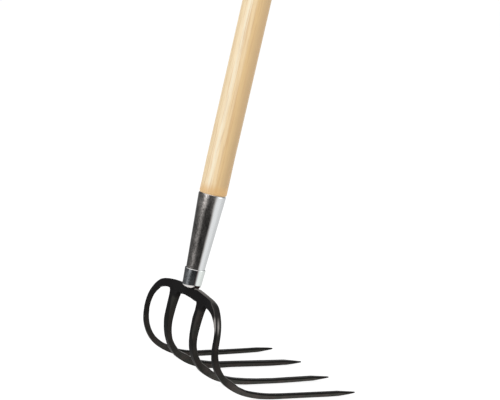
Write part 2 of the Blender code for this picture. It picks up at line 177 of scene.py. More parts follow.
class Wire:
    def __init__(self, graph, socket):
        self.graph, self.socket = graph, socket

    def maths(self, operation, *others, clamp=False):
        settings = {"operation": operation, "use_clamp": clamp}
        return self.graph.node("ShaderNodeMath", settings, dict(enumerate((self, *others))))

    def __add__(self, other):
        return self.maths("ADD", other)

    __radd__ = __add__

    def __mul__(self, other):
        return self.maths("MULTIPLY", other)

    __rmul__ = __mul__

    def __sub__(self, other):
        return self.maths("SUBTRACT", other)

    def __rsub__(self, other):
        return (self * -1) + other

    def __truediv__(self, other):
        return self.maths("DIVIDE", other)

    def __pow__(self, other):
        return self.maths("POWER", other)

    def clamp(self):
        return self.maths("ADD", 0.0, clamp=True)

    def rise(self, low, high):
        # 0 below low, 1 above high, smooth between; falls instead where low is the larger
        if low > high:
            return 1 - self.rise(high, low)
        return self.graph.node("ShaderNodeMapRange", {"interpolation_type": "SMOOTHSTEP"},
                               {0: self, 1: low, 2: high, 3: 0.0, 4: 1.0})

    def bump(self, centre, width):
        # 1 at the centre, falling to 0 at a width away on either side
        return (self - centre).maths("ABSOLUTE").rise(width, 0.0)

    def vectorMaths(self, operation, other, socket=1):
        return self.graph.node("ShaderNodeVectorMath", {"operation": operation}, {0: self, socket: other})

    def stretched(self, factors):
        return self.vectorMaths("MULTIPLY", factors)

    def moved(self, offset):
        return self.vectorMaths("ADD", offset)

    def scaled(self, factor):
        return self.vectorMaths("SCALE", factor, 3)

    def parts(self):
        made = self.graph.node("ShaderNodeSeparateXYZ", {}, {0: self})
        return [Wire(self.graph, out) for out in made.socket.node.outputs]


class Graph:
    def __init__(self, name, shader):
        self.look = bpy.data.materials.new(name)
        self.look.use_nodes = True
        self.tree = self.look.node_tree
        self.shader = self.tree.nodes["Principled BSDF"]
        for key, value in shader.items():
            self.shader.inputs[key].default_value = value

    def node(self, kind, settings, inputs, out=0):
        made = self.tree.nodes.new(kind)
        for key, value in settings.items():
            setattr(made, key, value)
        for key, value in inputs.items():
            self.feed(made.inputs[key], value)
        return Wire(self, made.outputs[out])

    def feed(self, socket, value):
        if isinstance(value, Wire):
            self.tree.links.new(value.socket, socket)
        else:
            socket.default_value = value

    def attribute(self, name, out):
        return self.node("ShaderNodeAttribute", {"attribute_name": name}, {}, out)

    def noise(self, *values):
        names = ("Vector", "Scale", "Detail", "Roughness", "Distortion")
        return self.node("ShaderNodeTexNoise", {}, dict(zip(names, values)))

    def colours(self, factor, first, second):
        first, second = [value if isinstance(value, Wire) else (*value, 1) for value in (first, second)]
        return self.node("ShaderNodeMix", {"data_type": "RGBA"}, {0: factor, 6: first, 7: second}, 2)

    def drive(self, key, value):
        self.feed(self.shader.inputs[key], value)

    def relief(self, height, strength, distance):
        values = {"Height": height, "Strength": strength, "Distance": distance}
        self.drive("Normal", self.node("ShaderNodeBump", {}, values))


# Head

arch = {"halfWidth": 78.4, "depth": 44.6, "fullness": 2.87, "bandMiddle": 11.4, "bandSide": 6.2,
        "neckRise": 2.6, "neckHalf": 9.4, "neckCorner": 2.6 / 3}
tines = {"outerWidth": 5.6, "splayStart": 110, "outerBend": 77.2, "outerTip": 83.2,
         "innerTop": 27.7, "innerTip": 30.6, "innerWidth": 7.0, "innerFlare": 8.3,
         "flareStart": 12, "flareLength": 27.5, "windowRadius": 5.0, "middleRadius": 4.5,
         "pointLength": 21, "pointPower": 0.8, "tip": 1.2}
tineLengths = 248.2, 254.2, 251.0, 250.0   # from the top edge, the one at -X first
section = {"arch": 4.3, "bend": 5.1, "end": 3.6, "bendAt": 115, "endAt": 215, "boss": 1.7,
           "bossHalf": 48, "bossDepth": 34, "edge": 1.2, "widthShare": 0.3, "thickShare": 0.4}
crowning = {"plate": 1.3, "inner": 30, "outer": 66, "fullTo": 50, "goneAt": 90,
            "tine": 1.2, "tineAt": 150, "tineReach": 70}
tang = {"length": 122, "width": 11, "thick": 5.2, "tip": 3.6, "corner": 0.2,
        "root": 8.1, "foot": 1.5, "footShare": 0.8, "forward": 1.2}
counts = {"neck": 12, "middle": 8, "root": 24, "shoulder": 84, "fillet": 15, "corner": 6, "point": 30,
          "band": 16, "fade": 12, "sag": 10}   # rows and columns of the flat pattern
samples = {"arch": 6000, "edge": 4000, "neck": 4000, "spacing": 2000}   # tries where a place is looked for
edgeReach = 4   # how far up and down a tine's edge its fillet is looked for
edgeShares = np.array([0.0, 0.06, 0.24, 0.55, 1.0])   # columns in a rounded edge, by share of its radius
easing = {"depth": 0.09, "at": 47.2, "reach": 12}   # keeps the back of the head within the solids' box
rowStep, pointCrowding = 1.2, 1.4
noTaper = 300   # a length past every point
offTine = -2   # place across an inner tine, for points that are on none


def archOuter(u):
    # superellipse: x from the sine and s from the cosine, each to the power 2 over the fullness
    angle, power = np.abs(u) * np.pi / 2, 2 / arch["fullness"]
    x = arch["halfWidth"] * np.sin(angle) ** power
    s = arch["depth"] * (1 - np.clip(np.cos(angle), 0, 1) ** power)
    return np.stack([x * np.sign(u), s], -1)


def archInward(u):
    # unit normal of that curve, pointing into the arch
    angle, power = np.abs(u) * np.pi / 2, 2 / arch["fullness"]
    dx = arch["halfWidth"] * np.clip(np.cos(angle), 0, 1) ** (2 - power)
    ds = arch["depth"] * np.sin(angle) ** (2 - power)
    norm = np.hypot(dx, ds)
    return np.stack([-ds / norm * np.sign(u), dx / norm], -1)


def archInner(u):
    # the outer curve moved inwards by a depth that is a quadratic curve of three values
    v = np.abs(u)
    depth = arch["bandMiddle"] * (1 - v) ** 2 + 2 * arch["bandSide"] * v * (1 - v)
    depth = depth + tines["outerWidth"] * v * v
    return archOuter(u) + archInward(u) * np.asarray(depth)[..., None]


def pointShare(s, length):
    # 1 down to the point, then a power of what is left of it
    return np.clip((length - s) / tines["pointLength"], 0, 1) ** tines["pointPower"]


def outerX(s):
    # centre line: straight to the splay's start, then straight to the tip
    ends = (arch["depth"], tines["splayStart"], max(tineLengths))
    shoulder = arch["halfWidth"] - tines["outerWidth"] / 2
    return np.interp(s, ends, (shoulder, tines["outerBend"], tines["outerTip"]))


def tapered(width, s, length):
    # the tip's width and a share of the rest
    return tines["tip"] + (width - tines["tip"]) * pointShare(s, length)


def outerEdges(s, length):
    # centre line and half the width to either side
    half = tapered(tines["outerWidth"], s, length) / 2
    return np.stack([outerX(s) + half, s], -1), np.stack([outerX(s) - half, s], -1)


def innerHalf(s, length):
    # half the width, with a flare that dies away exponentially from the root
    flare = tines["innerFlare"] * np.exp(-(s - tines["flareStart"]) / tines["flareLength"])
    return tapered(tines["innerWidth"] + flare, s, length) / 2


def innerX(s):
    # centre line, straight from the top to the tip
    return np.interp(s, (0, max(tineLengths)), (tines["innerTop"], tines["innerTip"]))


def filletOf(side, radius, length):
    # circle of this radius that touches the band's lower edge and one edge of the inner tine
    u = np.linspace(0.02, 0.9, samples["arch"])
    centre = archInner(u) + archInward(u) * radius
    edge = innerX(centre[:, 1]) + side * innerHalf(centre[:, 1], length)
    slope = np.gradient(edge, centre[:, 1])
    gap = side * (centre[:, 0] - edge) / np.hypot(1, slope) - radius
    change = np.nonzero(np.diff(np.sign(gap)))[0]
    k = change[0] if side > 0 else change[-1]
    share = gap[k] / (gap[k] - gap[k + 1])
    foundU = u[k] + (u[k + 1] - u[k]) * share
    first = archInner(foundU)
    middle = first + archInward(foundU) * radius
    s = np.linspace(middle[1] - edgeReach, middle[1] + edgeReach, samples["edge"])
    near = np.stack([innerX(s) + side * innerHalf(s, length), s], -1)
    touch = near[np.argmin(np.hypot(*(near - middle).T))]
    start, end = first - middle, touch - middle
    sweep = math.atan2(start[0] * end[1] - start[1] * end[0], start @ end)
    angle = math.atan2(start[1], start[0]) + np.linspace(0, 1, counts["fillet"]) * sweep
    arc = middle + math.hypot(*end) * np.stack([np.cos(angle), np.sin(angle)], -1)
    arc[0], arc[-1] = first, touch
    return foundU, arc


def columnsOf(count, width):
    # shares across each row: close together in its two rounded edges, even between them
    width = width[:, None]
    close = np.minimum(section["edge"], section["widthShare"] * width) * edgeShares
    start, end = close[:, -1], width[:, 0] - close[:, -1]
    middle = np.linspace(start, end, count - 2 * len(edgeShares) + 2, axis=1)[:, 1:-1]
    return np.concatenate([close, middle, width - close[:, ::-1]], 1) / width


def evenly(curve, start, end, count):
    # parameters between two ends, spaced evenly by distance along the curve
    u = np.linspace(start, end, samples["spacing"])
    steps = np.hypot(*np.diff(curve(u), axis=0).T)
    run = np.concatenate([[0], np.cumsum(steps)])
    return np.interp(np.linspace(0, run[-1], count + 1), run, u)


# extra metal in tenths of a millimetre, given on each face, tine by tine from -X, and on the
# arch's two edges by the distance from the middle
forged = {
    "stations": (10, 20, 28, 36, 44, 50, 58, 68, 80, 86, 92, 98,
                 104, 110, 116, 128, 140, 160, 180, 200, 215, 230, 242, 252),
    "low": ((0, 0, 1, 3, 6, 9, 3, 3, 2, 2, 1, 1, 0, 1, 1, 1, 2, 3, 3, 2, 2, -1, 0, 0),
            (25, 6, 5, 5, 7, 3, 1, 3, 5, 2, 1, 1, 1, 2, 2, 4, 5, 5, 5, 6, 6, 4, 1, 0),
            (-5, -4, 8, 4, 4, 4, 7, 11, 2, 2, 1, 1, 1, 2, 2, 2, 2, 1, 1, 3, 4, 4, 3, 2),
            (4, 4, 3, 4, 6, 6, 4, 9, 2, 2, 1, 1, 0, 1, 1, 2, 3, 2, 3, 3, 3, 3, 2, 1)),
    "high": ((2, 2, 1, 0, 0, 0, 0, 0, 1, 1, 0, 0, 0, 1, 1, 2, 4, 8, 8, 3, 2, 1, 0, 0),
             (3, 2, 3, 4, 4, 4, 3, 4, 4, 2, 1, 1, 1, 1, 1, 1, 0, -1, -1, 0, 0, 0, 1, 1),
             (15, 3, 3, 3, 3, 2, 1, 1, 2, 2, 1, 1, 1, 1, 1, 1, 1, 1, 1, 0, -1, -2, -2, -2),
             (1, 1, 2, 3, 4, 4, 4, 4, 3, 2, 1, 1, 0, 1, 1, 1, 0, 1, 1, 1, 2, -1, 0, 0)),
    "front": ((0, 2, 1, 0, 0, 0, 0, 0, 1, 5, 7, 8, 13, 9, 5, 6, 7, 10, 7, 7, 7, 7, 6, 0),
              (0, 4, 5, 6, 7, 7, 6, 4, 13, 13, 23, 29, 25, 18, 13, 15, 16, 16, 17, 18, 16, 12, 5, -3),
              (0, 5, 6, 6, 5, 3, 0, 1, 7, 19, 23, 14, 15, 14, 10, 8, 8, 0, 1, 9, 12, 12, 10, 9),
              (0, 1, 2, 4, 6, 7, 8, 8, 11, 20, 27, 22, 13, 11, 6, 9, 9, 7, 8, 9, 9, 8, 5, 3)),
    "back": ((0, 0, 1, 1, 0, 0, 6, 7, 10, 10, 10, 10, 9, 9, 8, 7, 0, 0, 0, 3, 4, 3, 1, -2),
             (0, 6, 7, 8, 7, 5, 4, 2, 6, 7, 7, 8, 8, 8, 8, 8, 1, -3, -2, -1, 1, 0, 3, 4),
             (0, 0, 3, 5, 4, 5, 7, 9, 11, 12, 12, 12, 12, 10, 7, 4, 4, 4, 3, -1, -4, -6, -8, -9),
             (0, 6, 3, 1, 0, 0, 6, 6, 3, 6, 5, 6, 6, 5, 4, 3, 0, 0, 0, 2, 4, 3, 1, -4)),
    "outerAt": (-78, -73, -66, -60, -54, -48, -40, -20, 10, 15, 20, 30, 38, 44, 50, 56, 60, 64, 70, 74),
    "outer": (3, 0, 7, 13, 10, 6, 2, 0, 0, 9, 6, 3, 4, 10, 16, 21, 20, 14, 4, 1),
    "innerAt": (-75, -72, -68, -64, -60, -54, -46, -42, -36, -14, -9, 0, 8, 14, 44, 56, 64, 69, 71, 73, 75),
    "inner": (-17, -1, 6, 5, -5, -2, 0, 5, 10, 11, 0, -2, 2, 11, 15, 14, 18, 18, 8, -1, 8)}


def growth(tine, face, s):
    # straight lines between the stations
    return np.interp(s, forged["stations"], np.array(forged[face][tine]) / 10)


def archGrowth(name, across):
    # the same along one edge of the arch
    return np.interp(across, forged[name + "At"], np.array(forged[name]) / 10)[:, None]


def tineStations(start, length):
    # even steps down to the point, and closer ones towards its end
    body = np.arange(start, length - tines["pointLength"], rowStep)
    share = (1 - np.linspace(0, 1, counts["point"])) ** pointCrowding
    return np.concatenate([body, length - tines["pointLength"] * share])


class FlatPattern:
    # x and s of every point, the length of the tine that it is on, and the grids of point numbers
    def __init__(self):
        self.points = np.zeros((0, 2))
        self.lengths = np.zeros(0)
        self.grids = []

    def add(self, points, length):
        # gives back the new points' numbers, laid out as they are
        count = points[..., 0].size
        index = len(self.points) + np.arange(count).reshape(points.shape[:-1])
        self.points = np.append(self.points, points.reshape(-1, 2), 0)
        self.lengths = np.append(self.lengths, np.full(count, float(length)))
        return index


def ribbonGrid(pattern):
    # the arch with the two outer tines: rows run from tip to tip, columns from outer to inner edge
    u = np.linspace(0, 0.3, samples["neck"])
    neckU = np.interp(arch["neckHalf"] + arch["neckCorner"], archOuter(u)[:, 0], u)
    cuts, halves = {}, {}
    for side, length in ((1, tineLengths[2]), (-1, tineLengths[1])):
        cuts[side] = filletOf(-1, tines["middleRadius"], length), filletOf(1, tines["windowRadius"], length)
        (nearU, _), (farU, _) = cuts[side]
        u = np.concatenate([evenly(archOuter, 0, neckU, counts["neck"]),
                            evenly(archInner, neckU, nearU, counts["middle"])[1:],
                            evenly(archInner, nearU, farU, counts["root"])[1:],
                            evenly(archOuter, farU, 1, counts["shoulder"])[1:]])
        inward = archInward(u)
        outer, inner = archOuter(u), archInner(u)
        outer = outer - inward * archGrowth("outer", side * outer[:, 0])
        inner = inner + inward * archGrowth("inner", side * inner[:, 0])
        tine, faces = (3, ("high", "low")) if side > 0 else (0, ("low", "high"))
        length = tineLengths[tine]
        stations = tineStations(arch["depth"], length)[1:]
        halves[side] = []
        for edge, body, sign, face in zip((outer, inner), outerEdges(stations, length), (1, -1), faces):
            edge[:, 0] += sign * growth(tine, face, edge[:, 1]) * smooth(u, 0.7, 1)
            body[:, 0] += sign * growth(tine, face, stations) * pointShare(stations, length)
            halves[side].append(np.concatenate([edge, body]) * (side, 1))
    outer, inner = [np.concatenate([left[:0:-1], right]) for left, right in zip(halves[-1], halves[1])]
    middleRow = len(halves[-1][0]) - 1
    columns = columnsOf(counts["band"], np.hypot(*(inner - outer).T))
    points = outer[:, None] + (inner - outer)[:, None] * columns[..., None]
    index = pattern.add(points, 0)
    pattern.lengths[index[middleRow:]] = tineLengths[3]
    pattern.lengths[index[:middleRow]] = tineLengths[0]
    pattern.grids.append(index)
    return index, middleRow, cuts


def innerTineGrid(pattern, ribbon, middleRow, cuts, side):
    # rows go down the tine from the band's lower edge, columns run from the middle outwards
    tine, farFace, nearFace = (2, "high", "low") if side > 0 else (1, "low", "high")
    length, columnCount = tineLengths[tine], counts["root"] + 1
    first = middleRow + side * (counts["neck"] + counts["middle"])
    top = ribbon[first:first + side * columnCount:side, -1]
    topPoints = pattern.points[top] * (side, 1)
    arcs = [arc for _, arc in cuts[side]]
    start = max(arc[-1, 1] for arc in arcs)
    stations = tineStations(start, length)
    edges = []
    for arc, sign, face in zip(arcs, (-1, 1), (nearFace, farFace)):
        # the fillet, then straight down to the first full station
        edge = np.stack([innerX(stations) + sign * innerHalf(stations, length), stations], -1)
        edge = np.concatenate([arc[:-1], edge])
        edge[:, 0] += sign * growth(tine, face, edge[:, 1]) * pointShare(edge[:, 1], length)
        edges.append(edge)
    left, right = edges
    row = np.arange(len(left))
    fade = np.clip(row / counts["fade"], 0, 1)[:, None]
    columns = columnsOf(columnCount, np.hypot(*(right - left).T))
    columns = np.linspace(0, 1, columnCount) * (1 - fade) + columns * fade
    points = left[:, None] + (right - left)[:, None] * columns[..., None]
    sag = np.clip(1 - row / counts["sag"], 0, 1) ** 2
    points = points + (topPoints - points[0]) * sag[:, None, None]
    index = np.concatenate([top[None], pattern.add(points[1:] * (side, 1), length)])
    pattern.grids.append(index if side > 0 else index[:, ::-1])
    return index


def neckGrid(pattern, ribbon, middleRow):
    # the raised seat: rows go up from the top edge, with a small round at foot and head
    corner, half, rise = arch["neckCorner"], arch["neckHalf"], arch["neckRise"]
    edge = np.concatenate([arcPoints((half + corner, -corner), corner, 90, 180, counts["corner"]),
                           arcPoints((half - corner, corner - rise), corner, 0, -90, counts["corner"])])
    share = np.linspace(-1, 1, 2 * counts["neck"] + 1)
    points = np.stack([edge[:, :1] * share, np.broadcast_to(edge[:, 1:], (len(edge), len(share)))], -1)
    top = ribbon[middleRow - counts["neck"]:middleRow + counts["neck"] + 1, 0]
    index = np.concatenate([top[None], pattern.add(points[1:], noTaper)])
    pattern.grids.append(index[:, ::-1])
    return index


def edgeLoop(ribbon, middleRow, inner, neck):
    # one way round: from the tip at -X over arch and neck to the tip at +X, then back inside the tines
    right, left = inner[1], inner[-1]
    toNeck, root = counts["neck"], counts["root"]
    r, l = middleRow + toNeck + counts["middle"], middleRow - toNeck - counts["middle"]
    path = [ribbon[:middleRow - toNeck, 0], neck[1:, 0], neck[-1, 1:-1], neck[:0:-1, -1],
            ribbon[middleRow + toNeck:, 0], ribbon[-1, 1:-1], ribbon[:r + root - 1:-1, -1],
            right[1:, -1], right[-1, -2:0:-1], right[:0:-1, 0], ribbon[r:l:-1, -1],
            left[:, 0], left[-1, 1:-1], left[:0:-1, -1], ribbon[l - root::-1, -1], ribbon[0, -2:0:-1]]
    return np.concatenate(path)


def distanceTo(points, line, closed=True):
    # shortest way from every point to the line through the listed ones, and the direction of that part
    start = points[line]
    step = np.roll(start, -1, 0) - start
    if not closed:
        start, step = start[:-1], step[:-1]
    square = np.maximum((step ** 2).sum(1), 1e-12)
    best, way = np.empty(len(points)), np.empty((len(points), 2))
    atOnce = 800   # points at a time, to spare memory
    for k in range(0, len(points), atOnce):
        away = points[k:k + atOnce, None] - start
        share = np.clip((away * step).sum(-1) / square, 0, 1)
        gap = ((away - share[..., None] * step) ** 2).sum(-1)
        best[k:k + atOnce] = np.sqrt(gap.min(1))
        way[k:k + atOnce] = step[gap.argmin(1)]
    return best, way / np.maximum(np.hypot(*way.T), 1e-9)[:, None]


def headFields(x, s, length, distance):
    # thickness, forward set and edge rounding of the plate at each flat point
    base = np.interp(s, (0, section["bendAt"], section["endAt"]),
                     (section["arch"], section["bend"], section["end"]))
    boss = (1 - smooth(np.abs(x), 0, section["bossHalf"])) * (1 - smooth(s, 0, section["bossDepth"]))
    share = pointShare(s, length)
    thick = tines["tip"] + (base + section["boss"] * boss - tines["tip"]) * share
    width = tines["tip"] + (tines["outerWidth"] - tines["tip"]) * share
    limit = np.minimum(section["widthShare"] * width, section["thickShare"] * thick)
    radius = np.minimum(section["edge"], limit)
    plate = crowning["plate"] * (1 - smooth(s, crowning["fullTo"], crowning["goneAt"]))
    away = np.abs(s - crowning["tineAt"])
    tine = crowning["tine"] * (1 - smooth(away, 0, crowning["tineReach"]))
    lift = (plate + tine) * (1 - smooth(np.abs(x), crowning["inner"], crowning["outer"]))
    inside = np.clip(radius - distance, 0, None)
    drop = radius - np.sqrt(np.clip(radius ** 2 - inside ** 2, 0, None))
    return thick, lift, drop


# the side tones are painted light on the walls that face +X, the warmer one a random change of hue
paint = {"plate": (0.0086, 0.0080, 0.0083), "face": (0.0091, 0.0089, 0.0083),
         "side": (0.037, 0.0365, 0.0325), "rustyLitSide": (0.041, 0.0355, 0.0325),
         # the first two colours below are painted highlights on corners and edges
         "cornerHighlight": (0.2, 0.187, 0.175), "shoulderHighlight": (0.5, 0.47, 0.45), "neck": (0.025, 0.0125, 0.0115),
         "roughness": 0.2, "mottleScale": 0.12, "fineScale": 1.4, "hueScale": 0.06,
         "bendHighlight": 0.8, "lineHighlight": 0.42, "outerSideLight": 0.07, "outerHighlight": 1.15, "withinHighlight": 0.6}
ridgeLine = {"x": (10, 20, 30, 40, 47, 50.4, 54.3, 58.5, 61, 63.6, 66),   # painted highlight line below the top edge
             "depth": (1.4, 1.4, 1.5, 1.6, 2.2, 3.4, 4.5, 4.5, 4.7, 5.1, 5.7)}


def paintLook():
    # flat faces are darkest; the sides that face +X are painted greyer, as lit; the corners carry painted
    # highlights, most on the last tine
    graph = Graph("blackPaint", {"Roughness": 0.34, "Specular IOR Level": 0.015})
    place = graph.attribute("place", 1)
    edge, side, outward, fromTop, ridge, tineShare = [
        graph.attribute(name, 2) for name in ("edge", "side", "outward", "fromTop", "ridge", "tineShare")]
    across, along, _ = place.parts()
    mottle = graph.noise(place, paint["mottleScale"], 4.0, 0.6)
    fine = graph.noise(place, paint["fineScale"], 3.0, 0.6)
    grain = (mottle - 0.5) * 0.9 + (fine - 0.5) * 0.7 + 1.0
    onTines = (along + (mottle - 0.5) * 14).rise(14, 40)
    base = graph.colours(onTines, paint["plate"], paint["face"])

    # painted light: walls that face +X, a share of the inner tines' backs and every back past the bend are
    # greyer
    wall = edge.rise(1.1, 0.2) * outward.rise(0.1, 0.5) * side.rise(1.05, 0.7) * along.rise(12, 24)
    leftLimit = across.rise(5, -5) * along.rise(18, 44)
    rightLimit = across.rise(-5, 5) * (along.rise(44, 54) * 1.2 + 0.05)
    shoulder = (tineShare - (leftLimit + rightLimit)).rise(-0.15, 0.15) * along.rise(16.5, 20)
    back = side.rise(0.2, -0.2)
    wall = wall.maths("MAXIMUM", shoulder * back).maths("MAXIMUM", back * along.rise(60, 82))
    # painted shade on parts of the outer tines and painted light at the bends; darker towards the tips
    paintedShade = across.rise(-60, -66) * along.rise(62, 40) * 0.55
    paintedShade = paintedShade + across.rise(60, 66) * along.bump(56, 16) * 0.35
    wall = wall * (1 - along.bump(50, 14) * 0.2 - paintedShade) * (1 - along.rise(225, 248) * 0.6)
    paintedLight = across.rise(-20, 20) * along.rise(75, 105) * 0.5
    paintedLight = paintedLight + across.rise(20, -20) * along.bump(88, 14) * 0.25 + 1
    paintedLight = paintedLight * (along.rise(78, 102) * 0.38 + 0.8)
    hue = graph.noise(place, paint["hueScale"], 2.0, 0.5).rise(0.42, 0.58)
    tone = graph.colours(hue, paint["side"], paint["rustyLitSide"])
    base = graph.colours(wall.clamp(), base, tone.scaled(paintedLight)).scaled(grain)

    # painted highlights and painted light: the corners at the bend, and at +X a strip and a line below the
    # arch's top edge
    bends = edge.bump(0.7, 0.9) * side.rise(0.6, 0.9) * outward.rise(0.1, 0.5)
    bends = bends * along.rise(56, 72) * along.rise(116, 98) * mottle.rise(0.2, 0.5)
    onArch = across.rise(arch["neckHalf"], arch["neckHalf"] + 0.8) * along.rise(-0.9, -0.5)
    strip = ridge.rise(0.3, -0.3) * onArch * (0.85 - across.rise(26, 44) * 0.4 - across.rise(48, 56) * 0.25)
    strip = strip * (1 - across.rise(50, 60))
    strip = strip * (0.35 + fromTop.rise(2.6, 1.0) * 0.55) * (fine.rise(0.3, 0.6) * 0.25 + 0.85)
    line = ridge.bump(0.0, 1.0) * onArch * across.rise(46, 51) * (1 - along.rise(17, 20))
    beyond = ridge.rise(0.3, -0.6) * onArch * across.rise(50, 58) * (1 - along.rise(20, 30))
    highlights = bends * paint["bendHighlight"] + strip + line * paint["lineHighlight"] + beyond * paint["outerSideLight"]
    base = graph.colours(highlights.clamp(), base, paint["cornerHighlight"])

    # painted highlights on the back of the shoulder at +X, at its outer corner and in a short strip further
    # in
    last = across.rise(52, 62) * side.rise(-0.2, -0.6)
    outer = side.bump(-0.8, 0.34) * edge.rise(1.2, 0.2) * outward.rise(0.0, 0.3) * along.bump(24, 10)
    within = fromTop.rise(2.8, 4.2) * (1 - (fromTop - (along - 19) * 0.35).rise(6.0, 6.9))
    within = within * side.rise(-0.9, -0.98) * along.rise(15, 20) * (1 - along.rise(27, 33))
    shoulderHighlight = last * (outer * paint["outerHighlight"] + within * paint["withinHighlight"])
    base = graph.colours(shoulderHighlight.clamp(), base, paint["shoulderHighlight"])
    base = graph.colours(along.rise(-0.5, -0.9) * across.rise(7, 9), base, paint["neck"])
    graph.drive("Base Color", base)
    graph.drive("Roughness", mottle * 0.16 + fine * 0.08 + paint["roughness"])
    graph.relief(mottle * 0.5 + fine * 0.12, 0.35, 0.0006)
    return graph.look


def makeHead():
    # the pattern bent along the profile, half a thickness to the front and half to the back
    pattern = FlatPattern()
    ribbon, middleRow, cuts = ribbonGrid(pattern)
    inner = {side: innerTineGrid(pattern, ribbon, middleRow, cuts, side) for side in (1, -1)}
    neck = neckGrid(pattern, ribbon, middleRow)
    loop = edgeLoop(ribbon, middleRow, inner, neck)
    x, s = pattern.points.T
    distance, way = distanceTo(pattern.points, loop)
    distance[loop] = 0
    thick, lift, drop = headFields(x, s, pattern.lengths, distance)
    frontExtra, backExtra = np.zeros(len(x)), np.zeros(len(x))
    for tine, length in enumerate(tineLengths):
        own = pattern.lengths == length
        frontExtra[own] = growth(tine, "front", s[own])
        backExtra[own] = growth(tine, "back", s[own])
    eased = easing["depth"] * (1 - smooth(np.abs(s - easing["at"]), 0, easing["reach"]))
    front = bentPlate(x, s, lift + thick / 2 - drop + frontExtra)
    back = bentPlate(x, s, lift - thick / 2 + drop + eased - backExtra)
    tangPoints, tangQuads = tangBar()
    points = np.concatenate([front, back, tangPoints])

    count, after = len(x), np.roll(loop, -1)
    backQuads = np.concatenate([quadsOf(part) for part in pattern.grids])
    wall = np.stack([loop + count, after + count, after, loop], -1)
    quads = np.concatenate([backQuads[:, ::-1], backQuads + count, wall, tangQuads + 2 * count])

    # what the paint goes by; the loop runs anticlockwise with s upwards, so its way along s is how far the
    # wall there faces +X. The tang is hidden: it counts as far from an edge and has nought in the rest
    fromTop = distanceTo(pattern.points, ribbon[:, 0], False)[0]
    onInner = np.isin(pattern.lengths, tineLengths[1:3])
    shareAcross = (x - np.sign(x) * innerX(s)) / innerHalf(s, tineLengths[2])
    fields = {"edge": distance, "outward": way[:, 1], "fromTop": fromTop,
              "ridge": fromTop - np.interp(x, ridgeLine["x"], ridgeLine["depth"]),
              "tineShare": np.where(onInner, shareAcross, offTine)}
    pad = (0, len(tangPoints))
    extra = {key: np.pad(np.tile(values, 2), pad) for key, values in fields.items()}
    extra["side"] = np.pad(np.repeat([1.0, -1.0], count), pad)
    extra["edge"][2 * count:] = 5
    place = np.stack([np.tile(x, 2), np.tile(s, 2), np.append(lift + thick / 2, lift - thick / 2)], -1)
    place = np.pad(place, (pad, (0, 0)))
    addPiece("head", points, quads, [], paintLook(), "fork_head", place, extra)


def tangBar():
    # tapering bar along the axis: each ring is a rectangle with its four corners taken off
    foot, wide, thick, forward = arch["neckRise"] / 2, tang["width"], tang["thick"], tang["forward"]
    rings = []
    for h, w, t, y in ((foot - tang["foot"], wide, thick * tang["footShare"], forward),
                       (foot, wide, thick, forward), (tang["root"], wide, thick, 0),
                       (tang["length"], tang["tip"], tang["tip"], 0)):
        a, b = w / 2, t / 2
        c = tang["corner"] * min(a, b)
        rings.append([(p, q + y, h) for p, q in ((a, c - b), (a, b - c), (a - c, b), (c - a, b),
                                                 (-a, b - c), (-a, c - b), (c - a, -b), (a - c, -b))])
    points = shaftToRow(np.array(rings).reshape(-1, 3))
    index = np.arange(len(points)).reshape(len(rings), -1)
    cap = np.array([[0, 1, 2, 3], [0, 3, 4, 7], [4, 5, 6, 7]])   # the eight corners as three quads
    quads = np.concatenate([quadsOf(index, True), index[0][cap], index[-1][cap][:, ::-1]])
    return points, quads


print("head")
makeHead()


# Polished steel of the collar, ferrule and nail

ferrule = {"foot": 13.1, "rim": 100.6, "length": 85.4, "top": 14.65, "end": 9.6, "wall": 1.2, "crimp": 2.9,
           "rows": 60, "innerRows": 30, "rimRows": (14, 8), "segments": 200}
collar = {"foot": 10.15, "bottom": 2.9, "rim": 19.5, "lip": 4.6, "lipRadius": 3.0, "wall": 1.2,
          "sleeve": 0.8, "rimRound": 0.7, "seat": 12.8, "fullness": 2.4,
          "rows": 12, "cupRows": 8, "rimRows": 9, "segments": 240, "tries": 700}
viewAngle = math.radians(-32)   # the photo's place round the handle, which the bands and the wood go by
# tones of the painted reflections and highlights, here and in the two band tables below
steel = {"roughness": 0.1, "dark": 0.03, "side": 0.045, "streak": 0.078, "rim": (1.0, 0.96, 0.93)}
collarBands = {"tint": (0.95, 1.0, 1.05), "brightTint": (0.97, 1.02, 0.99), "edgeTint": (1.1, 0.92, 0.92),
               "streak": (-0.48, 0.27), "foot": 0.0, "bright": 0.74, "line": 0.7}
tubeBands = {"tint": (1.0, 0.94, 0.9), "brightTint": (0.98, 1.0, 1.01),
             "streak": (-0.43, 0.3), "foot": 0.04, "bright": 0.68, "line": 0.85}


def ferruleRadius(height):
    # a straight taper
    share = (np.asarray(height) - ferrule["foot"]) / ferrule["length"]
    return ferrule["end"] + (ferrule["top"] - ferrule["end"]) * share


def acrossView(x, y):
    # sideways place over the radius: -1 at the piece's left side in the photo, 1 at its right
    across = x * math.sin(-viewAngle) + y * math.cos(viewAngle)
    return across / ((x * x + y * y) ** 0.5)


